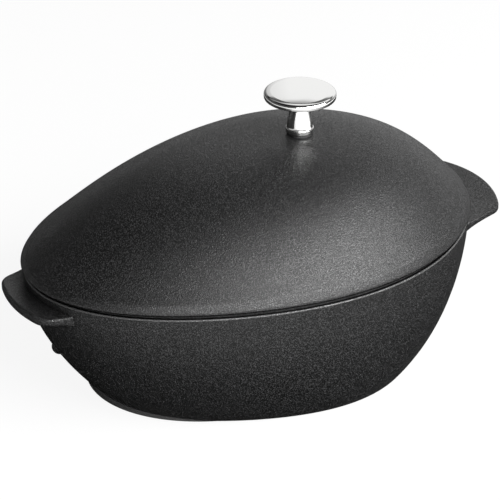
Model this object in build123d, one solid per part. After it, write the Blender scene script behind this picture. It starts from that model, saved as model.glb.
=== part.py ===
"""Egg-shaped cast-iron mussel pot: pot, domed lid with a turned knob, and a lift-out strainer.

Millimetres, +Z up, +X to the broad end. The origin is on the table, midway between the two lug tips.
"""

import os
from math import cos, hypot, pi, radians, sin, sqrt

from build123d import *

# Mouth of the pot, an egg seen from above. An egg's shape is how its half width swells with the cosine
# of the angle, with the cosine's square and with its cube; the cosine is 1 at the broad end.
RIM_LENGTH = 270.0
RIM_WIDTH = 192.2
RIM_SHAPE = (0.11, -0.052, -0.084)

# Base of the wall, set towards the broad end
BASE_LENGTH = 196.5
BASE_WIDTH = 159.2
BASE_FORWARD = 2.9
BASE_SHAPE = (0.166, -0.062, -0.169)
BASE_EDGE_RADIUS = 2.0

# Wall, its thickness measured level, and how full its curve is between base and mouth
WALL_HEIGHT = 78.5
WALL = 4.6
SIDE_FULLNESS = 3.65
BROAD_END_FULLNESS = 1.43
NARROW_END_FULLNESS = 1.88
FLOOR = 5.0
FLOOR_CORNER_RADIUS = 12.0

# Foot that the pot stands on, an oval that shows past the wall at the narrow end
FOOT_LENGTH = 174.0
FOOT_WIDTH = 135.6
FOOT_BACK = 12.4
FOOT_HEIGHT = 5.0
FOOT_EDGE_RADIUS = 0.5
FOOT_RING = 15.0
FOOT_RECESS = 1.2

# Rim: a raised land that the lid sits on, inside a lower rounded shoulder
SHOULDER_WIDTH = 2.2
SHOULDER_RADIUS = 0.8
LAND_RISE = 1.8

# Carrying lugs, solid tabs cast on both ends
NARROW_LUG_REACH = 12.2
NARROW_LUG_WIDTH = 55.0
NARROW_LUG_ARC = 74.0
NARROW_LUG_FLARE = 0.25
NARROW_LUG_DEPTH = 24.0
BROAD_LUG_REACH = 22.6
BROAD_LUG_WIDTH = 72.6
BROAD_LUG_ARC = 65.2
BROAD_LUG_FLARE = 0.35
BROAD_LUG_DEPTH = 46.0
LUG_CORNER = 11.7
LUG_DROP = 4.6
LUG_DISH = 1.0
LUG_THICKNESS = 5.8
LUG_ROOT_THICKNESS = 8.5
LUG_TOP_RADIUS = 1.2
LUG_UNDER_RADIUS = 1.8

# Small cast nub on the wall under the narrow lug
NUB_HEIGHT = 37.0
NUB_RADIUS = 4.5
NUB_PROUD = 1.8

# Lid
LID_PAST_BROAD_END = 1.4
LID_PAST_NARROW_END = 1.2
LID_SIDE_GAP = 0.15
LID_EDGE = 4.0
LID_EDGE_RADIUS = 0.8
LID_SHOULDER_RADIUS = 5.0
DOME_RISE = 47.7
DOME_PEAK = 32.6
DOME_FLATNESS = 3.0
DOME_ROUNDNESS = 1.15
LID_WALL = 4.0
HOLLOW_ROUNDNESS = 0.95
HOLLOW_START = 1.0
SKIRT_CLEARANCE = 0.8
SKIRT_THICKNESS = 3.2
SKIRT_DEPTH = 3.0
PAD_RADIUS = 7.2
PAD_HEIGHT = 1.2
BOSS_RADIUS = 9.0
BOSS_HEIGHT = 1.5

# Knob and its fastening
KNOB_DIAMETER = 40.8
KNOB_HEIGHT = 25.3
KNOB_CROWN = 0.7
KNOB_EDGE = 5.1
KNOB_TOP_ROUND = 1.9
KNOB_UNDER_ROUND = 2.4
KNOB_UNDERCUT = 0.9
KNOB_NECK_ROUND = 2.2
KNOB_NECK_RADIUS = 5.9
KNOB_STEM_RADIUS = 7.3
KNOB_WAIST = 0.3
KNOB_FOOT_RADIUS = 7.9
KNOB_FOOT_HEIGHT = 3.4
KNOB_FOOT_ROUND = 0.5
SCREW_RADIUS = 2.5
SCREW_IN_KNOB = 10.0
BORE_SPARE = 1.0
SCREW_HEAD_RADIUS = 4.8
SCREW_HEAD_HEIGHT = 3.0
SCREW_HEAD_ROUND = 1.5
SCREW_SLOT = 1.2
SCREW_CLEARANCE = 0.3
THREAD_CLEARANCE = 0.05
FLAT_WASHER_RADIUS = 7.0
FLAT_WASHER_THICKNESS = 1.2
SPRING_WASHER_RADIUS = 4.6
SPRING_WASHER_THICKNESS = 1.3
SPRING_WASHER_GAP = 1.5

# Strainer
STRAINER_LIFT = 14.0
STRAINER_THICKNESS = 1.2
STRAINER_CLEARANCE = 2.0
STRAINER_BORDER = 9.0
HOLE_DIAMETER = 8.0
HOLE_PITCH = 20.0
LEG_WIDTH = 14.0
LEG_FLANGE = 12.0
LEG_SHEET = 1.0
LEG_ANGLES = (40, 145, 215, 320)

# Worked out from the sizes above
RIM_X = (NARROW_LUG_REACH - BROAD_LUG_REACH) / 2
PEAK_X = RIM_X + DOME_PEAK
RIM_TOP = WALL_HEIGHT + LAND_RISE
DOME_TOP = RIM_TOP + LID_EDGE + DOME_RISE
LID_TOP = DOME_TOP + PAD_HEIGHT
HOLLOW_TOP = DOME_TOP - LID_WALL
HOLLOW_INSET = WALL + SKIRT_CLEARANCE + SKIRT_THICKNESS
BOSS_BOTTOM = HOLLOW_TOP - BOSS_HEIGHT

# How finely the curved forms are drawn
SECTION_POINTS = 36
TANGENT_STEP = 0.01
WALL_STEPS = 6
CORNER_STEPS = 4
DOME_RINGS = (1.0, 0.97, 0.92, 0.85, 0.76, 0.65, 0.52, 0.38, 0.24, 0.1)
HOLLOW_RINGS = (1.0, 0.985, 0.95, 0.88, 0.79, 0.67, 0.53, 0.38, 0.24, 0.1)

# How close two places are to count as the same, and a depth that any hole goes through
NEAR = 0.01
THROUGH = 20.0
UP = (Align.CENTER, Align.CENTER, Align.MIN)
DOWN = (Align.CENTER, Align.CENTER, Align.MAX)


def egg(angle, length, width, centre_x, shape):
    """Point of an egg outline: an ellipse whose half width swells with powers of the cosine."""
    c = cos(angle)
    swell = 1 + shape[0] * c + shape[1] * c**2 + shape[2] * c**3
    return centre_x + length / 2 * c, width / 2 * sin(angle) * swell


def rim_outline(angle):
    """Outer edge of the mouth."""
    return egg(angle, RIM_LENGTH, RIM_WIDTH, RIM_X, RIM_SHAPE)


def lid_outline(angle):
    """Outer edge of the lid: past the mouth's at both ends, just inside it at the sides."""
    length = LID_PAST_NARROW_END + RIM_LENGTH + LID_PAST_BROAD_END
    width = RIM_WIDTH - 2 * LID_SIDE_GAP
    return egg(angle, length, width, RIM_X + (LID_PAST_BROAD_END - LID_PAST_NARROW_END) / 2, RIM_SHAPE)


def wall_outline(z):
    """Outline of the outer wall at a height, between the base's egg and the mouth's."""

    def outline(angle):
        rim_x, rim_y = rim_outline(angle)
        base_x, base_y = egg(angle, BASE_LENGTH, BASE_WIDTH, RIM_X + BASE_FORWARD, BASE_SHAPE)
        end_fullness = BROAD_END_FULLNESS if cos(angle) > 0 else NARROW_END_FULLNESS
        fullness = SIDE_FULLNESS + (end_fullness - SIDE_FULLNESS) * cos(angle) ** 2
        opened = 1 - max(1 - z / WALL_HEIGHT, 0) ** fullness
        return base_x + (rim_x - base_x) * opened, base_y + (rim_y - base_y) * opened

    return outline


def ring_outline(outline, share):
    """Outline drawn in towards the peak of the dome to a share of its reach."""

    def drawn_in(angle):
        x, y = outline(angle)
        return PEAK_X + (x - PEAK_X) * share, y * share

    return drawn_in


def moved_in(outline, distance):
    """Outline moved inwards by a distance, square to itself."""

    def inner(angle):
        x, y = outline(angle)
        before_x, before_y = outline(angle - TANGENT_STEP)
        after_x, after_y = outline(angle + TANGENT_STEP)
        along_x, along_y = after_x - before_x, after_y - before_y
        reach = hypot(along_x, along_y)
        return x - along_y / reach * distance, y + along_x / reach * distance

    return inner


def section(outline, z):
    """Flat face inside a smooth closed outline at a height."""
    angles = [2 * pi * k / SECTION_POINTS for k in range(SECTION_POINTS)]
    points = [(*outline(angle), z) for angle in angles]
    return make_face(Spline(*points, periodic=True))


def wall_loft(bottom, top, gap):
    """Solid inside the wall's outer surface, drawn in by a gap, between two heights."""
    sections = []
    for step in range(WALL_STEPS + 1):
        z = bottom + (top - bottom) * step / WALL_STEPS
        sections.append(section(moved_in(wall_outline(z), gap), z))
    return loft(sections)


def dome(outline, start, rise, roundness, rings):
    """Closed dome over an outline: its height falls from the peak with a power of the reach."""
    sections = []
    for share in rings:
        height = start + rise * (1 - share**DOME_FLATNESS) ** roundness
        sections.append(section(ring_outline(outline, share), height))
    return loft(sections)


def prism(outline, bottom, top):
    """Upright solid on an outline between two heights."""
    return extrude(section(outline, bottom), amount=top - bottom)


def corner(face, place):
    """Corner of a flat face at a place."""
    return face.vertices().sort_by_distance(place)[0]


def edges_at(shape, z):
    """Edges of a shape that lie around a height."""
    return [edge for edge in shape.edges() if abs(edge.center().Z - z) < NEAR]


def free_edges(face, root_x):
    """Edges of a lug's face apart from the one that the wall buries."""
    return [edge for edge in face.edges() if abs(edge.center().X - root_x) > NEAR]


def lug(tip_x, way, width, arc, flare, depth):
    """Solid tab whose tip points along way; its root is buried in the wall."""
    root_x = tip_x - way * depth
    half = width / 2
    corner_x = tip_x - way * (arc - sqrt(arc**2 - half**2))
    tip = ThreePointArc((corner_x, -half), (tip_x, 0), (corner_x, half))
    root = half + flare * abs(corner_x - root_x)
    sides = Polyline((corner_x, half), (root_x, root), (root_x, -root), (corner_x, -half))
    plan = make_face([tip, *sides.edges()])
    corners = [vertex for vertex in plan.vertices() if abs(vertex.X - corner_x) < NEAR]
    plan = fillet(corners, LUG_CORNER)

    top = WALL_HEIGHT - LUG_DROP
    middle_x = (tip_x + root_x) / 2
    upper = Spline((tip_x, 0, top), (middle_x, 0, top - LUG_DISH), (root_x, 0, top))
    under_tip = top - LUG_THICKNESS
    under_root = top - LUG_ROOT_THICKNESS
    lower = Spline(
        (root_x, 0, under_root),
        (tip_x, 0, under_tip),
        tangents=[(way * depth, 0, depth / 2), (way, 0, 0)],
    )
    end = Line((root_x, 0, top), (root_x, 0, under_root))
    front = Line((tip_x, 0, under_tip), (tip_x, 0, top))
    side_view = make_face([*upper.edges(), *end.edges(), *lower.edges(), *front.edges()])
    tab = extrude(plan, amount=WALL_HEIGHT) & extrude(side_view, amount=RIM_WIDTH, both=True)

    tab = fillet(free_edges(tab.faces().sort_by(Axis.Z)[-1], root_x), LUG_TOP_RADIUS)
    return fillet(free_edges(tab.faces().sort_by(Axis.Z)[0], root_x), LUG_UNDER_RADIUS)


def make_cavity():
    """Hollow of the pot: a flat floor, a quarter-circle corner and the wall's own lean above it."""
    bend = []
    for step in range(CORNER_STEPS + 1):
        turn = pi / 2 * step / CORNER_STEPS
        z = FLOOR + FLOOR_CORNER_RADIUS * (1 - cos(turn))
        gap = WALL + FLOOR_CORNER_RADIUS * (1 - sin(turn))
        bend.append(section(moved_in(wall_outline(z), gap), z))
    side = wall_loft(FLOOR + FLOOR_CORNER_RADIUS, WALL_HEIGHT, WALL)
    mouth = prism(moved_in(rim_outline, WALL), WALL_HEIGHT, RIM_TOP)
    return loft(bend) + side + mouth


def make_pot():
    """One casting: leaning wall, foot, rim, two lugs and a small nub."""
    body = wall_loft(0, WALL_HEIGHT, 0)
    body = fillet(edges_at(body, 0), BASE_EDGE_RADIUS)
    body = fillet(edges_at(body, WALL_HEIGHT), SHOULDER_RADIUS)

    foot = extrude(Ellipse(FOOT_LENGTH / 2, FOOT_WIDTH / 2), amount=FOOT_HEIGHT)
    foot = fillet(foot.edges().filter_by(GeomType.ELLIPSE), FOOT_EDGE_RADIUS)
    body += Pos(RIM_X - FOOT_BACK, 0, 0) * foot

    narrow_tip = RIM_X - RIM_LENGTH / 2 - NARROW_LUG_REACH
    broad_tip = RIM_X + RIM_LENGTH / 2 + BROAD_LUG_REACH
    body += lug(narrow_tip, -1, NARROW_LUG_WIDTH, NARROW_LUG_ARC, NARROW_LUG_FLARE, NARROW_LUG_DEPTH)
    body += lug(broad_tip, 1, BROAD_LUG_WIDTH, BROAD_LUG_ARC, BROAD_LUG_FLARE, BROAD_LUG_DEPTH)

    nub_x, _ = wall_outline(NUB_HEIGHT)(pi)
    body += Pos(nub_x + NUB_RADIUS - NUB_PROUD, 0, NUB_HEIGHT) * Sphere(NUB_RADIUS)

    body += prism(moved_in(rim_outline, SHOULDER_WIDTH), WALL_HEIGHT, RIM_TOP)
    body -= make_cavity()
    return body - prism(moved_in(wall_outline(0), FOOT_RING), 0, FOOT_RECESS)


def make_lid():
    """One casting: dome, upright edge, locating skirt and the boss that takes the knob's screw."""
    edge_top = RIM_TOP + LID_EDGE
    lid = prism(lid_outline, RIM_TOP, edge_top)
    lid += dome(lid_outline, edge_top, DOME_RISE, DOME_ROUNDNESS, DOME_RINGS)
    lid = fillet(edges_at(lid, edge_top), LID_SHOULDER_RADIUS)
    lid = fillet(edges_at(lid, RIM_TOP), LID_EDGE_RADIUS)

    skirt = moved_in(rim_outline, WALL + SKIRT_CLEARANCE)
    skirt_bottom = RIM_TOP - SKIRT_DEPTH
    hollow_bottom = RIM_TOP + HOLLOW_START
    lid += prism(skirt, skirt_bottom, hollow_bottom)
    hollow_edge = moved_in(rim_outline, HOLLOW_INSET)
    lid -= prism(hollow_edge, skirt_bottom, hollow_bottom)
    lid -= dome(hollow_edge, hollow_bottom, HOLLOW_TOP - hollow_bottom, HOLLOW_ROUNDNESS, HOLLOW_RINGS)

    lid += Pos(PEAK_X, 0, BOSS_BOTTOM) * Cylinder(BOSS_RADIUS, BOSS_HEIGHT + LID_WALL / 2, align=UP)
    lid += Pos(PEAK_X, 0, LID_TOP) * Cylinder(PAD_RADIUS, PAD_HEIGHT + LID_WALL / 2, align=DOWN)
    return lid - Pos(PEAK_X, 0, BOSS_BOTTOM) * Cylinder(SCREW_RADIUS + SCREW_CLEARANCE, THROUGH)


def make_knob():
    """Turned knob: foot ring, waisted stem and a crowned disc with a full round edge."""
    radius = KNOB_DIAMETER / 2
    edge_top = KNOB_HEIGHT - KNOB_CROWN
    disc_under = edge_top - KNOB_EDGE
    foot_corners = [(KNOB_FOOT_RADIUS, 0), (KNOB_FOOT_RADIUS, KNOB_FOOT_HEIGHT)]
    stem_foot = (KNOB_STEM_RADIUS, KNOB_FOOT_HEIGHT)
    neck = (KNOB_NECK_RADIUS, disc_under)
    waist = (
        KNOB_NECK_RADIUS + (KNOB_STEM_RADIUS - KNOB_NECK_RADIUS) * KNOB_WAIST,
        (KNOB_FOOT_HEIGHT + disc_under) / 2,
    )
    disc_corners = [(radius, disc_under + KNOB_UNDERCUT), (radius, edge_top)]
    bore = SCREW_RADIUS + THREAD_CLEARANCE
    bore_top = SCREW_IN_KNOB + BORE_SPARE
    crown_radius = (radius**2 + KNOB_CROWN**2) / (2 * KNOB_CROWN)
    crown_sag = crown_radius - sqrt(crown_radius**2 - (radius / 2) ** 2)
    crown = (radius / 2, KNOB_HEIGHT - crown_sag)
    outline = [
        Polyline((0, KNOB_HEIGHT), (0, bore_top), (bore, bore_top), (bore, 0), *foot_corners, stem_foot),
        ThreePointArc(stem_foot, waist, neck),
        Polyline(neck, *disc_corners),
        ThreePointArc(disc_corners[1], crown, (0, KNOB_HEIGHT)),
    ]
    half = make_face([edge for piece in outline for edge in piece.edges()])
    half = fillet(corner(half, foot_corners[1]), KNOB_FOOT_ROUND)
    half = fillet(corner(half, neck), KNOB_NECK_ROUND)
    half = fillet(corner(half, disc_corners[0]), KNOB_UNDER_ROUND)
    half = fillet(corner(half, disc_corners[1]), KNOB_TOP_ROUND)
    return Pos(PEAK_X, 0, LID_TOP) * revolve(half.rotate(Axis.X, 90), Axis.Z)


def make_fastening():
    """Flat washer, split spring washer and slotted screw, stacked under the lid's boss."""
    hole = Cylinder(SCREW_RADIUS + SCREW_CLEARANCE, THROUGH)
    flat_z = BOSS_BOTTOM - FLAT_WASHER_THICKNESS
    flat = Cylinder(FLAT_WASHER_RADIUS, FLAT_WASHER_THICKNESS, align=UP) - hole
    spring_z = flat_z - SPRING_WASHER_THICKNESS
    spring = Cylinder(SPRING_WASHER_RADIUS, SPRING_WASHER_THICKNESS, align=UP) - hole
    spring -= Pos(SPRING_WASHER_RADIUS, 0, 0) * Box(2 * SPRING_WASHER_RADIUS, SPRING_WASHER_GAP, THROUGH)
    head_z = spring_z - SCREW_HEAD_HEIGHT
    shank = LID_TOP + SCREW_IN_KNOB - spring_z
    head = Cylinder(SCREW_HEAD_RADIUS, SCREW_HEAD_HEIGHT, align=UP)
    head = fillet(edges_at(head, 0), SCREW_HEAD_ROUND)
    head -= Box(THROUGH, SCREW_SLOT, 2 * SCREW_SLOT)
    screw = head + Pos(0, 0, SCREW_HEAD_HEIGHT) * Cylinder(SCREW_RADIUS, shank, align=UP)
    return Pos(PEAK_X, 0, flat_z) * flat, Pos(PEAK_X, 0, spring_z) * spring, Pos(PEAK_X, 0, head_z) * screw


def hole_places(outline):
    """Places of the strainer's holes: staggered rows, kept inside the border."""
    border = section(outline, 0)
    box = border.bounding_box()
    row_gap = HOLE_PITCH * sqrt(3) / 2
    places = []
    rows = int(box.max.Y / row_gap) + 1
    columns = int((box.max.X - box.min.X) / HOLE_PITCH) + 1
    for row in range(-rows, rows + 1):
        shift = HOLE_PITCH / 2 if row % 2 else 0
        for column in range(-columns, columns + 1):
            place = Vector(box.center().X + column * HOLE_PITCH + shift, row * row_gap)
            if border.is_inside(place):
                places.append(place)
    return places


def make_strainer():
    """Perforated sheet plate that follows the wall, and the folded feet welded under it."""
    plate_z = FLOOR + STRAINER_LIFT
    edge = moved_in(wall_outline(plate_z), WALL + STRAINER_CLEARANCE)
    plate = prism(edge, plate_z, plate_z + STRAINER_THICKNESS)
    drill = Cylinder(HOLE_DIAMETER / 2, THROUGH)
    inner = moved_in(wall_outline(plate_z), WALL + STRAINER_CLEARANCE + STRAINER_BORDER)
    plate -= [Pos(place.X, place.Y, plate_z) * drill for place in hole_places(inner)]

    flange = Box(LEG_FLANGE, LEG_WIDTH, LEG_SHEET, align=(Align.MAX, Align.CENTER, Align.MAX))
    upright = Box(LEG_SHEET, LEG_WIDTH, STRAINER_LIFT, align=(Align.MAX, Align.CENTER, Align.MAX))
    sole = Pos(0, 0, LEG_SHEET - STRAINER_LIFT) * flange
    leg = flange + upright + sole
    seat = moved_in(wall_outline(FLOOR), WALL + FLOOR_CORNER_RADIUS + LEG_WIDTH / 2)
    legs = []
    for angle in LEG_ANGLES:
        x, y = seat(radians(angle))
        turned = leg if cos(radians(angle)) > 0 else leg.mirror(Plane.YZ)
        legs.append(Pos(x, y, plate_z) * turned)
    return plate, Compound(legs)


os.makedirs("parts", exist_ok=True)
flat_washer, spring_washer, knob_screw = make_fastening()
strainer_plate, strainer_legs = make_strainer()
nodes = {
    "pot": make_pot(),
    "lid": make_lid(),
    "knob": make_knob(),
    "knob_screw": knob_screw,
    "flat_washer": flat_washer,
    "spring_washer": spring_washer,
    "strainer_plate": strainer_plate,
    "strainer_legs": strainer_legs,
}
for name, shape in nodes.items():
    export_step(shape, f"parts/{name}.step")
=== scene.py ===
"""Egg-shaped cast-iron mussel pot: pot, lift-out strainer, and a domed lid with a turned knob."""

import math

import bpy
import numpy as np
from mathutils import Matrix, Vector


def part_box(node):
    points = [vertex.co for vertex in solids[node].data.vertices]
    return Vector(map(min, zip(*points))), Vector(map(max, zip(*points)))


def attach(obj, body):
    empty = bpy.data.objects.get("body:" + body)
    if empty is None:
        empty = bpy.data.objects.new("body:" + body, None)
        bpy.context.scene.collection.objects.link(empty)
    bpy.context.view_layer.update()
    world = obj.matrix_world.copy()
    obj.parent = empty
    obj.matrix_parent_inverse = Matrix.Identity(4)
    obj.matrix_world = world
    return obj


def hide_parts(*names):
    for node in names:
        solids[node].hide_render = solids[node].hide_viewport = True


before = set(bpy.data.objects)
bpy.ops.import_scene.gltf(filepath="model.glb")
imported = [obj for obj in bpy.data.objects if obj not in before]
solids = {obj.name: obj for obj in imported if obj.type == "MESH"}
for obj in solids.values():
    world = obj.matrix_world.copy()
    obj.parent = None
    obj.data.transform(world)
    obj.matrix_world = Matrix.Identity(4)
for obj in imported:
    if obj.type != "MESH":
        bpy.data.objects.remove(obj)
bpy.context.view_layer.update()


# Pot: one iron casting with its two lugs and its foot, poured in a sand mould and fired with a matte
# black enamel. The enamel is smoother at the shoulder under the rim and at the narrow end of the
# foot, with a paler painted highlight on both, and smooth with a painted shadow in the groove round
# the rim.

RIM_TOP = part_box("pot")[1].z
WALL_TOP = RIM_TOP - 0.0018
MARGIN = 0.0001
# Band of the shoulder: smoother enamel with a paler painted highlight.
SHOULDER_HEIGHTS = (WALL_TOP - 0.0011, WALL_TOP + MARGIN)
SHOULDER_FACING = (0.2, 0.95)
# Band of the foot: a paler painted highlight, only at its narrow end, on smoother enamel.
FOOT_HEIGHTS = (-0.001, 0.0049)
FOOT_FACING = (-0.6, 0.9)
FOOT_HIGHLIGHT_TO = -0.05
# Band of the groove round the rim, between the wall's top and the rim's top: a painted shadow.
GROOVE_HEIGHTS = (WALL_TOP - MARGIN, RIM_TOP + MARGIN)
GROOVE_FACING = (0.97, 1.1)

# Grains and lumps are counted per metre, and a relief is a height in metres.
SAND_GRAINS = 1800
SAND_RELIEF = 0.00028
FRIT_GRAINS = 1500
FRIT_SHADES = (
    (0.38, (0.0003, 0.0003, 0.0003)),
    (0.51, (0.003, 0.003, 0.0031)),
    (0.63, (0.036, 0.036, 0.0365)))
FRIT_ROUGHNESS = (0.54, 0.25)
CASTING_LUMPS = 45
CASTING_RELIEF = 0.0003
# Paler shade painted on as a highlight at the shoulder and at the narrow end of the foot.
PAINTED_HIGHLIGHT_SHADE = 0.06
SHOULDER_ROUGHNESS = 0.14
FOOT_ROUGHNESS = 0.3
# Near-black shade painted on as shadow in the groove and under the lid's lip.
PAINTED_SHADOW_SHADE = 0.0003
GROOVE_ROUGHNESS = 0.2


def grey(level):
    """Neutral colour of one level."""
    return (level, level, level)


def new_finish(name):
    """Material of one Principled shader; returns the material, its node tree and the shader."""
    material = bpy.data.materials.new(name)
    material.use_nodes = True
    return material, material.node_tree, material.node_tree.nodes["Principled BSDF"]


def feed(tree, node, inputs):
    """Gives each named input of a node a plain value or the output of another node."""
    for name, value in inputs.items():
        if isinstance(value, bpy.types.NodeSocket):
            tree.links.new(value, node.inputs[name])
        else:
            node.inputs[name].default_value = value


def step(tree, kind, inputs, output=0, operation=None):
    """Adds a node of a kind to a finish, feeds its inputs and returns one of its outputs."""
    node = tree.nodes.new(kind)
    if operation is not None:
        node.operation = operation
    feed(tree, node, inputs)
    return node.outputs[output]


def grains(tree, count, detail=1, squeeze=(1, 1, 1)):
    """Noise over the piece's own Object coordinates, count grains per metre, which squeeze packs
    closer along an axis."""
    place = step(tree, "ShaderNodeTexCoord", {}, output="Object")
    squeezed = step(tree, "ShaderNodeVectorMath", {0: place, 1: squeeze}, operation="MULTIPLY")
    return step(tree, "ShaderNodeTexNoise", {"Vector": squeezed, "Scale": count, "Detail": detail})


def shades(tree, source, stops):
    """Colour that follows a value; stops are (value, colour) pairs, with a straight blend between."""
    ramp = tree.nodes.new("ShaderNodeValToRGB")
    elements = ramp.color_ramp.elements
    for element, (value, colour) in zip(elements, (stops[0], stops[-1])):
        element.position = value
        element.color = (*colour, 1)
    for value, colour in stops[1:-1]:
        elements.new(value).color = (*colour, 1)
    tree.links.new(source, ramp.inputs["Fac"])
    return ramp.outputs["Color"]


def spread(tree, source, start, end):
    """Value that goes from start to end over the middle range of a noise, from 0.3 to 0.7."""
    return step(tree, "ShaderNodeMapRange", {
        "Value": source, "From Min": 0.3, "From Max": 0.7, "To Min": start, "To Max": end})


def relief(tree, source, height, strength=1, below=None):
    """Bump of a height over a noise, on top of another bump where one is given."""
    inputs = {"Height": source, "Distance": height, "Strength": strength}
    if below is not None:
        inputs["Normal"] = below
    return step(tree, "ShaderNodeBump", inputs)


def between(tree, source, low, high):
    """1 where a value is within half of (high - low) of the middle of low and high, else 0."""
    return step(tree, "ShaderNodeMath", {
        0: source, 1: (low + high) / 2, 2: (high - low) / 2}, operation="COMPARE")


def product(tree, first, second):
    """One value times another."""
    return step(tree, "ShaderNodeMath", {0: first, 1: second}, operation="MULTIPLY")


def black_enamel(name):
    """Matte black enamel: near-black body with paler, glossier grains of frit, a sandy surface and
    the slow unevenness of the casting below it."""
    material, tree, shader = new_finish(name)
    frit = grains(tree, FRIT_GRAINS)
    sand = grains(tree, SAND_GRAINS)
    casting = grains(tree, CASTING_LUMPS, detail=2)
    uneven = relief(tree, casting, CASTING_RELIEF, strength=0.5)
    feed(tree, shader, {
        "Base Color": shades(tree, frit, FRIT_SHADES),
        "Roughness": spread(tree, frit, *FRIT_ROUGHNESS),
        "Normal": relief(tree, sand, SAND_RELIEF, below=uneven)})
    return material


def painted_light_band(material, heights, facing, shade, roughness, lengthwise=(-1, 1)):
    """Band of enamel with another roughness and a painted shade, paler for a painted highlight or
    near-black for a painted shadow, between two heights, only where the surface faces upwards by a
    share between the two facing values, and between two places along the pot."""
    tree = material.node_tree
    shader = tree.nodes["Principled BSDF"]
    place = tree.nodes.new("ShaderNodeSeparateXYZ")
    feed(tree, place, {0: step(tree, "ShaderNodeTexCoord", {}, output="Object")})
    normal = step(tree, "ShaderNodeNewGeometry", {}, output="Normal")
    upward = step(tree, "ShaderNodeSeparateXYZ", {0: normal}, output="Z")
    in_height = between(tree, place.outputs["Z"], *heights)
    in_facing = between(tree, upward, *facing)
    in_length = between(tree, place.outputs["X"], *lengthwise)
    amount = product(tree, product(tree, in_height, in_facing), in_length)
    for socket, level in (("Base Color", shade), ("Roughness", roughness)):
        blend = tree.nodes.new("ShaderNodeMix")
        blend.data_type = "RGBA"
        feed(tree, blend, {
            "Factor": amount, "A": shader.inputs[socket].links[0].from_socket, "B": (*grey(level), 1)})
        feed(tree, shader, {socket: blend.outputs["Result"]})


def finish_solid(name, material):
    """Gives a solid of the frame its material."""
    solids[name].data.materials.clear()
    solids[name].data.materials.append(material)


pot_enamel = black_enamel("pot_black_enamel")
# Painted highlights at the shoulder and at the narrow end of the foot, and a painted shadow in the
# groove round the rim.
painted_light_band(pot_enamel, SHOULDER_HEIGHTS, SHOULDER_FACING, PAINTED_HIGHLIGHT_SHADE, SHOULDER_ROUGHNESS)
painted_light_band(pot_enamel, FOOT_HEIGHTS, FOOT_FACING, PAINTED_HIGHLIGHT_SHADE, FOOT_ROUGHNESS, (-1, FOOT_HIGHLIGHT_TO))
painted_light_band(pot_enamel, GROOVE_HEIGHTS, GROOVE_FACING, PAINTED_SHADOW_SHADE, GROOVE_ROUGHNESS)
finish_solid("pot", pot_enamel)


# Strainer: a plate cut and punched from satin stainless sheet, on four feet folded from strip. It
# stands loose on the pot's floor and is lifted out once the lid is off.


def stainless(name, count, squeeze, dull, bright, roughness, height):
    """Stainless steel whose colour, roughness and fine scratches follow the streaks of its making:
    dull streaks are rough, bright ones smooth. Roughness is given as (dull, bright)."""
    material, tree, shader = new_finish(name)
    streaks = grains(tree, count, detail=4, squeeze=squeeze)
    shader.inputs["Metallic"].default_value = 1
    feed(tree, shader, {
        "Base Color": shades(tree, streaks, ((0.3, dull), (0.7, bright))),
        "Roughness": spread(tree, streaks, *roughness),
        "Normal": relief(tree, streaks, height)})
    return material


sheet_steel = stainless(
    "satin_stainless", count=60, squeeze=(1, 40, 1), dull=(0.56, 0.56, 0.55), bright=(0.7, 0.7, 0.69),
    roughness=(0.42, 0.28), height=0.000003)
finish_solid("strainer_plate", sheet_steel)
finish_solid("strainer_legs", sheet_steel)


# Lid: one iron casting under the same enamel, which softens its edges. Its dome has its peak nearer
# the broad end and turns down in a steep band at the lip. The skirt under it drops inside the
# pot's mouth.

lid_low, lid_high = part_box("lid")
washer_low, washer_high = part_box("flat_washer")
POINTS_ROUND = 288
ROUND = np.linspace(0, 2 * np.pi, POINTS_ROUND, endpoint=False)
RIM_LENGTH = 0.27
RIM_WIDTH = 0.1922
RIM_MIDDLE = -0.0052
RIM_SWELL = (0.11, -0.052, -0.084)
LID_LENGTH = lid_high.x - lid_low.x
LID_WIDTH = 0.1919
LID_MIDDLE = (lid_low.x + lid_high.x) / 2
PEAK = np.array([(washer_low.x + washer_high.x) / 2, 0])

DOME_START = RIM_TOP + 0.004
DOME_RISE = 0.0477
DOME_ROUNDNESS = 1.15
DOME_SHARES = (0.1, 0.955)
DOME_ROWS = 60
LIP_BAND = 0.0024
LIP_ROUND = 0.0012
LIP_EASE = 0.3
LIP_ROWS = 8
LIP_FOOT = RIM_TOP + 0.0019
LIP_WIDEST = RIM_TOP + 0.0013
LIP_UNDERCUT = 0.0014
LIP_SHADOW_HEIGHTS = (RIM_TOP - 0.0003, RIM_TOP + 0.0011)
LIP_SHADOW_FACING = (-1.1, -0.1)

SKIRT_OUTSIDE = 0.0054
SKIRT_INSIDE = 0.0086
SKIRT_FOOT = lid_low.z
SKIRT_EASE = 0.0004
HOLLOW_START = RIM_TOP + 0.001
HOLLOW_RISE = 0.0467
HOLLOW_ROUNDNESS = 0.95
HOLLOW_DEPTHS = (0.06, 0.9)
HOLLOW_CROWDING = 1.5
HOLLOW_ROWS = 50

BORE = 0.0028
PAD_TOP = lid_high.z
PAD_EDGE = ((0.0066, 0), (0.0069, -0.0001), (0.0071, -0.0003), (0.0072, -0.0007))
PAD_FOOT = 0.0074
BOSS_BOTTOM = washer_high.z
BOSS_RADIUS = 0.0085
BOSS_EDGE = 0.0005
BOSS_FOOT = 0.0094
SHARP_EDGE = math.radians(40)


def egg(length, width, middle):
    """Egg outline: an ellipse whose half width is multiplied by 1 + a cos + b cos squared + c cos
    cubed, where a, b and c are the swell of the rim."""
    cosine = np.cos(ROUND)
    swell = 1 + RIM_SWELL[0] * cosine + RIM_SWELL[1] * cosine**2 + RIM_SWELL[2] * cosine**3
    return np.stack([middle + length / 2 * cosine, width / 2 * np.sin(ROUND) * swell], -1)


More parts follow.
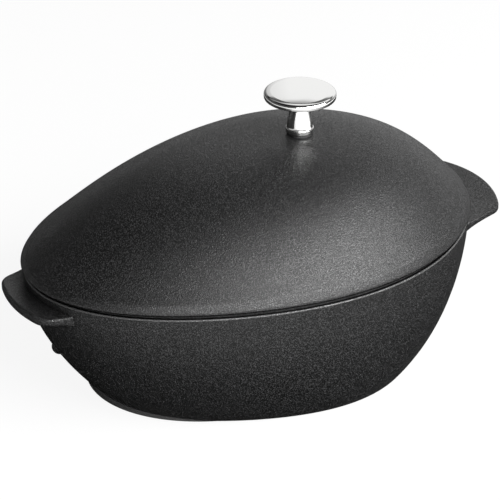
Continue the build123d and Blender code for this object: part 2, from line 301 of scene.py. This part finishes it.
def drawn_in(outline, distance):
    """Outline moved inwards by a distance, square to its own run."""
    along = np.roll(outline, -1, axis=0) - np.roll(outline, 1, axis=0)
    along /= np.linalg.norm(along, axis=1, keepdims=True)
    return outline + distance * np.stack([-along[:, 1], along[:, 0]], -1)


def ring(outline, height):
    """Row of points on an outline, at one height or a height for each point."""
    return np.column_stack([outline, np.broadcast_to(height, len(outline))])


def dome_ring(outline, share, start, rise, roundness):
    """Row of a dome: the outline shrunk towards the peak to a share of its reach, and lifted by
    rise x (1 - share cubed) to the power of the roundness."""
    share = np.broadcast_to(share, len(outline))
    shrunk = PEAK + (outline - PEAK) * share[:, None]
    return ring(shrunk, start + rise * (1 - share**3) ** roundness)


def circle(toward, radius, height):
    """Round row about the peak: each point is the peak plus radius times its own direction."""
    return ring(PEAK + toward * radius, height)


def bend(before, corner, after, steps):
    """Rows that ease one row into another past a corner row, on the parabola
    (1 - t) squared x before + 2 t (1 - t) x corner + t squared x after."""
    t = np.linspace(0, 1, steps)[:, None, None]
    return (1 - t) ** 2 * before + 2 * t * (1 - t) * corner + t**2 * after


def skin(name, rows, body, solid, material, through=False):
    """Closed surface over rows of points. The rows close round, and a middle point shuts the first
    and the last of them, or with through the last row runs back into the first. Six times its
    volume is the sum of a . (b x c) over its triangles, and where that is negative the faces are
    turned, so that they point outwards."""
    count, steps = rows.shape[:2]
    index = np.arange(count * steps).reshape(count, steps)
    here, above = index[:-1], index[1:]
    if through:
        here, above = index, np.roll(index, -1, axis=0)
    beside, above_beside = np.roll(here, -1, axis=1), np.roll(above, -1, axis=1)
    quads = np.stack([here, beside, above_beside, above], -1).reshape(-1, 4)
    corners = rows.reshape(-1, 3)
    faces = quads.tolist()
    a, b, c, d = (corners[quads[:, k]] for k in range(4))
    volume = (np.cross(b, c) * a + np.cross(c, d) * a).sum()
    if not through:
        middle = len(corners)
        corners = np.vstack([corners, rows[0].mean(0), rows[-1].mean(0)])
        first = np.stack([np.roll(index[0], -1), index[0], np.full(steps, middle)], -1)
        last = np.stack([index[-1], np.roll(index[-1], -1), np.full(steps, middle + 1)], -1)
        for cap in (first, last):
            volume += (np.cross(corners[cap[:, 1]], corners[cap[:, 2]]) * corners[cap[:, 0]]).sum()
            faces += cap.tolist()
    if volume < 0:
        faces = [face[::-1] for face in faces]
    mesh = bpy.data.meshes.new(name)
    mesh.from_pydata(corners.tolist(), [], faces)
    mesh.shade_smooth()
    mesh.set_sharp_from_angle(angle=SHARP_EDGE)
    mesh.materials.append(material)
    piece = bpy.data.objects.new(name, mesh)
    bpy.context.scene.collection.objects.link(piece)
    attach(piece, body)
    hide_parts(solid)


lid_enamel = black_enamel("lid_black_enamel")
# Painted shadow under the lid's lip, where it faces down.
painted_light_band(lid_enamel, LIP_SHADOW_HEIGHTS, LIP_SHADOW_FACING, PAINTED_SHADOW_SHADE, GROOVE_ROUGHNESS)

mouth = egg(RIM_LENGTH, RIM_WIDTH, RIM_MIDDLE)
skirt_outside = drawn_in(mouth, SKIRT_OUTSIDE)
skirt_inside = drawn_in(mouth, SKIRT_INSIDE)
lid_edge = egg(LID_LENGTH, LID_WIDTH, LID_MIDDLE)
reach = np.linalg.norm(lid_edge - PEAK, axis=1)
outward = (lid_edge - PEAK) / reach[:, None]

pad = [circle(outward, radius, PAD_TOP + height) for radius, height in ((BORE, 0), *PAD_EDGE)]
outside_shares = [
    PAD_FOOT / reach, *np.linspace(*DOME_SHARES, DOME_ROWS), 1 - (LIP_BAND + LIP_ROUND) / reach]
outside = [dome_ring(lid_edge, share, DOME_START, DOME_RISE, DOME_ROUNDNESS)
           for share in outside_shares]

band_top = dome_ring(lid_edge, 1 - LIP_BAND / reach, DOME_START, DOME_RISE, DOME_ROUNDNESS)
band_foot = ring(lid_edge, LIP_FOOT)
band = band_foot - band_top
upper_lip = bend(outside[-1], band_top, band_top + LIP_EASE * band, LIP_ROWS)[1:]
lower_lip = bend(band_top + (1 - LIP_EASE) * band, band_foot, ring(lid_edge, LIP_WIDEST), LIP_ROWS)
lip_inside = ring(drawn_in(lid_edge, LIP_UNDERCUT), RIM_TOP)
under_lip = bend(lower_lip[-1], ring(lid_edge, RIM_TOP), lip_inside, LIP_ROWS)[1:]

skirt = [
    ring(skirt_outside, RIM_TOP),
    ring(skirt_outside, SKIRT_FOOT + SKIRT_EASE),
    ring(drawn_in(skirt_outside, SKIRT_EASE), SKIRT_FOOT),
    ring(drawn_in(skirt_inside, -SKIRT_EASE), SKIRT_FOOT),
    ring(skirt_inside, SKIRT_FOOT + SKIRT_EASE),
    ring(skirt_inside, HOLLOW_START)]
to_boss = BOSS_FOOT / np.linalg.norm(skirt_inside - PEAK, axis=1)
hollow_shares = [*(1 - np.linspace(*HOLLOW_DEPTHS, HOLLOW_ROWS) ** HOLLOW_CROWDING), to_boss]
hollow = [dome_ring(skirt_inside, share, HOLLOW_START, HOLLOW_RISE, HOLLOW_ROUNDNESS)
          for share in hollow_shares]
boss = [
    circle(outward, BOSS_RADIUS + BOSS_EDGE, BOSS_BOTTOM + BOSS_EDGE),
    circle(outward, BOSS_RADIUS, BOSS_BOTTOM),
    circle(outward, BORE, BOSS_BOTTOM)]

lid_rows = np.stack([*pad, *outside, *upper_lip, *lower_lip, *under_lip, *skirt, *hollow, *boss])
skin("lid_casting", lid_rows, "lid", "lid", lid_enamel, through=True)


# Knob: turned from steel bar, plated with nickel and polished, with faint rings left by the
# polishing. The screw from inside the lid draws it tight on the pad.

knob_low, knob_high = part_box("knob")
KNOB_BORE = 0.00255
KNOB_BORE_DEPTH = 0.011
KNOB_FOOT = 0.0079
KNOB_FOOT_HEIGHT = 0.0027
STEM_RADIUS = 0.00595
STEM_FLARE = 0.00142
STEM_START = 0.0033
STEM_LENGTH = 0.0135
DISC_RADIUS = knob_high.x - PEAK[0]
DISC_NECK = 0.0195
DISC_UNDER = 0.021
DISC_SHOULDER = 0.02438
CROWN_EDGE = 0.02486
CROWN_RADIUS = 0.0166
CROWN_TOP = knob_high.z - knob_low.z
CROWN_DROP = 0.000435
NICKEL_SHADE = (0.86, 0.86, 0.85, 1)
NICKEL_ROUGHNESS = (0.03, 0.08)
HAZE_PATCHES = 120
POLISHING_RINGS = 1600
POLISHING_RELIEF = 0.0000015
EASE_STEPS = 9
JUST_PAST = 1.1


def eased(points):
    """Profile whose corners are eased: each point is (radius, height, reach of the easing), and
    each corner becomes the parabola corner + (1 - t) squared x start + t squared x end, where start
    and end point along its two runs and are as long as its reach. One more point lies just past
    each end of the parabola, to keep the runs straight."""
    done = [points[0][:2]]
    t = np.linspace(0, 1, EASE_STEPS)[:, None]
    for k in range(1, len(points) - 1):
        before, corner, after = (np.array(points[j][:2]) for j in (k - 1, k, k + 1))
        start = (before - corner) / np.linalg.norm(before - corner) * points[k][2]
        end = (after - corner) / np.linalg.norm(after - corner) * points[k][2]
        curve = corner + (1 - t) ** 2 * start + t**2 * end
        done += [corner + JUST_PAST * start, *curve, corner + JUST_PAST * end]
    return np.array([*done, points[-1][:2]])


def polished_nickel():
    """Nickel plate: mirror bright under a faint haze, with fine rings round the knob's own axis.
    The rings are noise over (distance from the axis, 0, height)."""
    material, tree, shader = new_finish("polished_nickel")
    shader.inputs["Base Color"].default_value = NICKEL_SHADE
    shader.inputs["Metallic"].default_value = 1
    haze = grains(tree, HAZE_PATCHES, detail=3)
    place = step(tree, "ShaderNodeTexCoord", {}, output="Object")
    from_axis = step(tree, "ShaderNodeVectorMath", {0: place, 1: (*PEAK, 0)}, operation="SUBTRACT")
    split = tree.nodes.new("ShaderNodeSeparateXYZ")
    feed(tree, split, {0: from_axis})
    flat = step(tree, "ShaderNodeCombineXYZ", {"X": split.outputs["X"], "Y": split.outputs["Y"]})
    radius = step(tree, "ShaderNodeVectorMath", {0: flat}, output="Value", operation="LENGTH")
    ring_place = step(tree, "ShaderNodeCombineXYZ", {"X": radius, "Z": split.outputs["Z"]})
    rings = step(tree, "ShaderNodeTexNoise", {
        "Vector": ring_place, "Scale": POLISHING_RINGS, "Detail": 2})
    feed(tree, shader, {
        "Roughness": spread(tree, haze, *NICKEL_ROUGHNESS),
        "Normal": relief(tree, rings, POLISHING_RELIEF)})
    return material


up_stem = np.linspace(0, 1, 14)
over_crown = 1 - up_stem[:-1]
foot_profile = eased([
    (0.0002, KNOB_BORE_DEPTH, 0),
    (KNOB_BORE, KNOB_BORE_DEPTH, 0.0004),
    (KNOB_BORE, 0, 0.0002),
    (KNOB_FOOT, 0, 0.0009),
    (KNOB_FOOT, KNOB_FOOT_HEIGHT, 0.0003),
    (KNOB_FOOT - 0.00045, KNOB_FOOT_HEIGHT + 0.0002, 0.00015),
    (KNOB_FOOT - 0.0005, STEM_START - 0.0001, 0)])
stem_profile = np.column_stack([
    STEM_RADIUS + STEM_FLARE * (1 - up_stem) ** 1.6, STEM_START + STEM_LENGTH * up_stem])
disc_profile = eased([
    (STEM_RADIUS, STEM_START + STEM_LENGTH + 0.0002, 0),
    (STEM_RADIUS + 0.00005, DISC_NECK, 0.0023),
    (DISC_RADIUS - 0.00015, DISC_UNDER, 0.0005),
    (DISC_RADIUS, DISC_SHOULDER, 0.0017),
    (CROWN_RADIUS + 0.0001, CROWN_EDGE, 0)])
crown_profile = np.column_stack([CROWN_RADIUS * over_crown, CROWN_TOP - CROWN_DROP * over_crown**2])
knob_profile = np.vstack([foot_profile, stem_profile, disc_profile, crown_profile])
every_way = np.column_stack([np.cos(ROUND), np.sin(ROUND)])
knob_rows = np.stack([circle(every_way, radius, PAD_TOP + height) for radius, height in knob_profile])
skin("knob_turned", knob_rows, "lid", "knob", polished_nickel())


# Fastening: a stamped flat washer, a split spring washer and a turned, slotted screw, all of bright
# stainless steel. They clamp the knob to the lid from inside.

fastener_steel = stainless(
    "bright_stainless", count=900, squeeze=(1, 1, 4), dull=grey(0.52), bright=grey(0.64),
    roughness=(0.3, 0.14), height=0.000002)
for name in ("flat_washer", "spring_washer", "knob_screw"):
    finish_solid(name, fastener_steel)


# Floor: a plain pale sweep of painted board that the pot stands on. The camera sees it nearly white
# under a light shadow, and reflections see a painted shadow on it, dark near the pot.

FLOOR_HALF = 3.0
BOARD_PAINT = 0.95
BOARD_GLOW = 0.9
# Painted shadow seen only in reflections: darkest within the first distance of a point behind the pot,
# pale past the second.
REFLECTED_SHADOW_MIDDLE = (0.098, 0.174, 0)
REFLECTED_SHADOW_REACH = (0.35, 0.58)
REFLECTED_SHADOW_DARKEST = 0.03

floor_mesh = bpy.data.meshes.new("floor")
floor_corners = [(-FLOOR_HALF, -FLOOR_HALF, 0), (FLOOR_HALF, -FLOOR_HALF, 0),
                 (FLOOR_HALF, FLOOR_HALF, 0), (-FLOOR_HALF, FLOOR_HALF, 0)]
floor_mesh.from_pydata(floor_corners, [], [(0, 1, 2, 3)])
floor = bpy.data.objects.new("floor", floor_mesh)
bpy.context.scene.collection.objects.link(floor)


def white_board():
    """Painted board: its paint for light and shadow, a glow of its own for the camera, and for
    reflections only a painted shadow that goes from dark to pale between two distances from a point
    behind the pot."""
    material, tree, shader = new_finish("white_board")
    shader.inputs["Roughness"].default_value = 0.9
    shader.inputs["Specular IOR Level"].default_value = 0.1
    rays = tree.nodes.new("ShaderNodeLightPath").outputs
    place = step(tree, "ShaderNodeTexCoord", {}, output="Object")
    away = step(tree, "ShaderNodeVectorMath", {0: place, 1: REFLECTED_SHADOW_MIDDLE},
                output="Value", operation="DISTANCE")
    # Painted shadow for reflections only, dark near the pot.
    reflected_shadow = step(tree, "ShaderNodeMapRange", {
        "Value": away, "From Min": REFLECTED_SHADOW_REACH[0], "From Max": REFLECTED_SHADOW_REACH[1],
        "To Min": REFLECTED_SHADOW_DARKEST, "To Max": BOARD_PAINT})
    reflected_shadow.node.interpolation_type = "SMOOTHSTEP"
    paint_and_reflected_shadow = step(tree, "ShaderNodeMapRange", {
        "Value": rays["Is Glossy Ray"], "To Min": BOARD_PAINT, "To Max": reflected_shadow})
    feed(tree, shader, {"Base Color": paint_and_reflected_shadow})
    glow = step(tree, "ShaderNodeEmission", {"Color": (*grey(1), 1)})
    amount = product(tree, rays["Is Camera Ray"], BOARD_GLOW)
    seen = step(tree, "ShaderNodeMixShader", {"Fac": amount, 1: shader.outputs[0], 2: glow})
    feed(tree, tree.nodes["Material Output"], {"Surface": seen})
    return material


floor_mesh.materials.append(white_board())


# Light: a wide soft box above the front right, a weak low one at the front left, and a white room.
# For reflections only, the room has dark bands at two heights and a dark flag at each side.

scene = bpy.context.scene
POT_MIDDLE = (0, 0, 0.08)
KEY_PLACE = (0.5, -1.08, 0.98)
KEY_SIZE = (1.7, 0.5)
KEY_WATTS = 47
LOW_PLACE = (-0.62, -1.38, 0.6)
LOW_SIZE = (0.9, 0.25)
LOW_WATTS = 6
ROOM_LEVEL = 0.2

# Levels of the room by height, from 0 at the horizon to 1 overhead, and by side, from 0 at the
# left of the photograph's view to 1 at its right.
ROOM_BANDS = (
    (0, 1), (0.49, 1), (0.52, 0.2), (0.59, 0.08), (0.62, 1), (0.72, 1), (0.76, 0.08), (1, 0.05))
ROOM_FLAGS = ((0.22, 0.08), (0.4, 0.25), (0.5, 1), (0.75, 1), (0.92, 0.1))
FLAGS_ALONG = (0.872, -0.49, 0)


def soft_box(name, place, size, watts):
    """Rectangular lamp at a place, turned to face the middle of the pot."""
    lamp = bpy.data.lights.new(name, "AREA")
    lamp.shape = "RECTANGLE"
    lamp.size, lamp.size_y = size
    lamp.energy = watts
    box = bpy.data.objects.new(name, lamp)
    scene.collection.objects.link(box)
    box.location = place
    box.rotation_euler = (Vector(place) - Vector(POT_MIDDLE)).to_track_quat("Z", "Y").to_euler()


def white_room():
    """World that is white for the camera, one soft level for light, and for reflections the product
    of the level at its height and the level at its side, (1 + direction . side) / 2."""
    world = bpy.data.worlds.new("white_room")
    world.use_nodes = True
    room = world.node_tree
    room.nodes.clear()
    direction = step(room, "ShaderNodeTexCoord", {}, output="Generated")
    height = step(room, "ShaderNodeSeparateXYZ", {0: direction}, output="Z")
    sideways = step(room, "ShaderNodeVectorMath", {0: direction, 1: FLAGS_ALONG},
                    output="Value", operation="DOT_PRODUCT")
    across = step(room, "ShaderNodeMath", {0: sideways, 1: 0.5, 2: 0.5}, operation="MULTIPLY_ADD")
    bands = shades(room, height, [(place, grey(level)) for place, level in ROOM_BANDS])
    flags = shades(room, across, [(place, grey(level)) for place, level in ROOM_FLAGS])
    white = (*grey(1), 1)
    walls = step(room, "ShaderNodeBackground", {"Color": white, "Strength": product(room, bands, flags)})
    soft = step(room, "ShaderNodeBackground", {"Color": white, "Strength": ROOM_LEVEL})
    plain = step(room, "ShaderNodeBackground", {"Color": white})
    rays = room.nodes.new("ShaderNodeLightPath").outputs
    lit = step(room, "ShaderNodeMixShader", {"Fac": rays["Is Glossy Ray"], 1: soft, 2: walls})
    seen = step(room, "ShaderNodeMixShader", {"Fac": rays["Is Camera Ray"], 1: lit, 2: plain})
    feed(room, room.nodes.new("ShaderNodeOutputWorld"), {"Surface": seen})
    return world


soft_box("key_box", KEY_PLACE, KEY_SIZE, KEY_WATTS)
soft_box("low_box", LOW_PLACE, LOW_SIZE, LOW_WATTS)
scene.world = white_room()
scene.view_settings.view_transform = "Standard"


# Camera: the photograph's viewing angle, from above the near side of the narrow lug. Its angles,
# distance, lens and shift were fitted to the outline of the pot in the photograph.

AZIMUTH = math.radians(-29.338)
ELEVATION = math.radians(28.225)
DISTANCE = 1.404
TARGET = Vector((-0.0052, 0, 0.0756))
SENSOR = 36
LENS = 178.06
SHIFT = (0.00184, -0.03115)
toward_camera = Vector((
    math.sin(AZIMUTH) * math.cos(ELEVATION),
    -math.cos(AZIMUTH) * math.cos(ELEVATION),
    math.sin(ELEVATION)))

camera_data = bpy.data.cameras.new("camera")
camera_data.sensor_width = SENSOR
camera_data.lens = LENS
camera_data.shift_x, camera_data.shift_y = SHIFT
camera = bpy.data.objects.new("camera", camera_data)
scene.collection.objects.link(camera)
camera.location = TARGET + toward_camera * DISTANCE
camera.rotation_euler = toward_camera.to_track_quat("Z", "Y").to_euler()
scene.camera = camera
